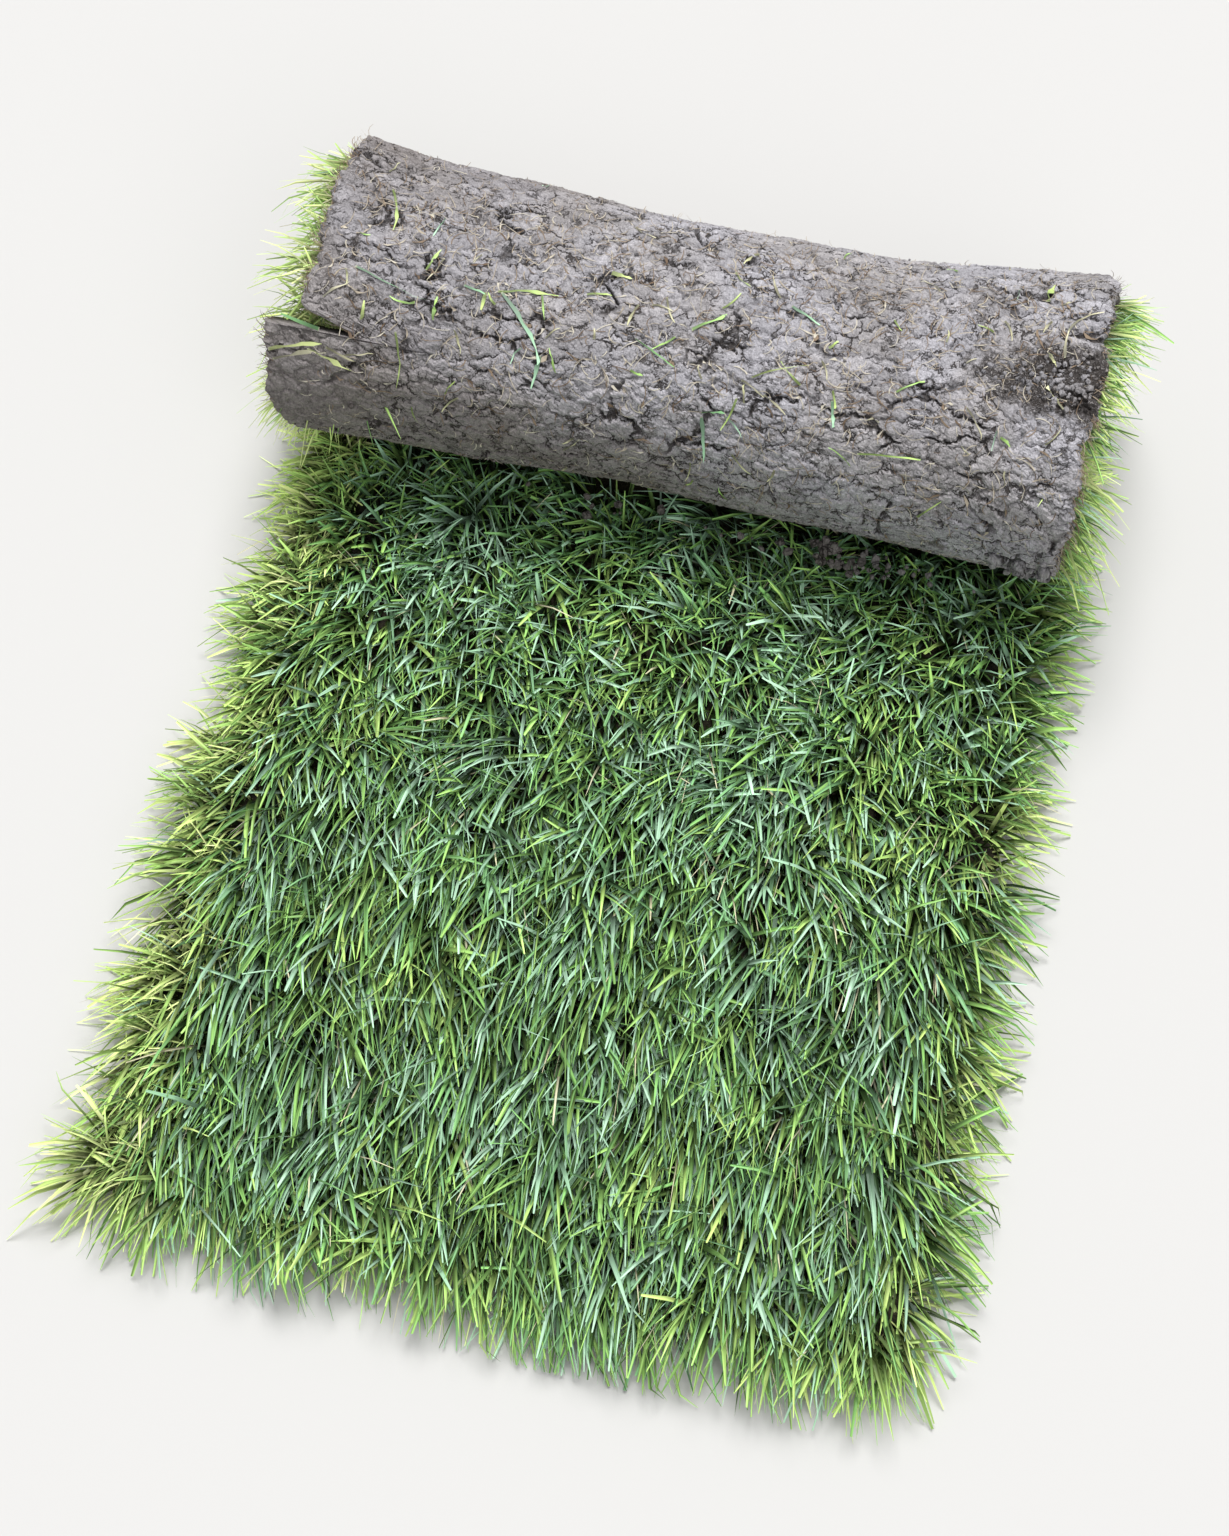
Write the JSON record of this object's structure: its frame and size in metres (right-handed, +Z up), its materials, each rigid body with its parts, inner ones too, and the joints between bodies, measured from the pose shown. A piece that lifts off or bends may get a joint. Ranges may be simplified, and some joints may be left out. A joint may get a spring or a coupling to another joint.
{
  "type": "turf roll",
  "caption": "Partly unrolled roll of turf: a flat tail of grass on a soil mat that winds back, soil side out, into a roll.",
  "frame": {"origin": "on the floor, below the middle of the whole piece", "axes": "+X along the roll, +Y along the strip from the tail's cut end towards the roll, +Z up"},
  "size_m": [0.67, 0.8915, 0.242],
  "materials": {
    "soil": "dry crumbly soil, matte",
    "grass": "living grass, soft and slightly waxy"
  },
  "bodies": {
    "root": {"soil_mat": "soil", "grass_sward": "grass"}
  },
  "joints": []
}
